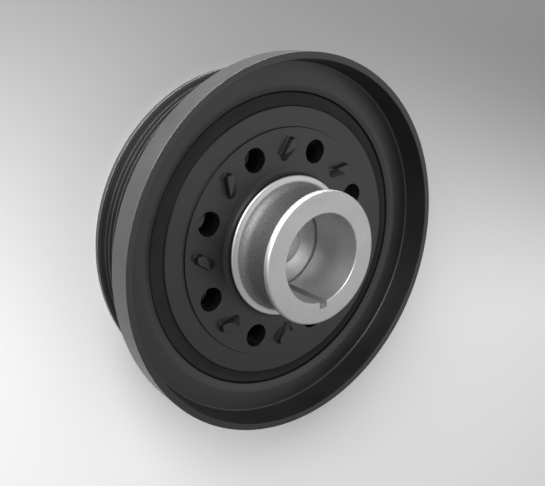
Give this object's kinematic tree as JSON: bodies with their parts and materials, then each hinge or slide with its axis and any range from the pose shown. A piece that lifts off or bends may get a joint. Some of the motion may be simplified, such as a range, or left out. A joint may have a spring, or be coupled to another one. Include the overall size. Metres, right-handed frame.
{
  "type": "harmonic balancer",
  "caption": "Crankshaft vibration damper pulley: a dished inertia ring with a ribbed belt track, a bonded rubber ring, a drilled disc and a stepped hub with a keyed bore.",
  "frame": {"origin": "centre of the outboard end face of the inertia ring, on the turning axis; the part rests on that face", "axes": "+Z along the turning axis towards the nose of the hub; +Y through the keyway of the bore"},
  "size_m": [0.18, 0.18, 0.0611],
  "materials": {
    "ring_paint": "satin black paint over cast iron",
    "rubber": "matte, moulded",
    "disc_paint": "satin black paint over cast iron",
    "hub_steel": "machined steel, dark satin on the neck, brighter on the nose"
  },
  "bodies": {
    "root": {"inertia_ring": "ring_paint", "rubber_ring": "rubber", "hub_disc": "disc_paint", "crank_hub": "hub_steel"}
  },
  "joints": []
}
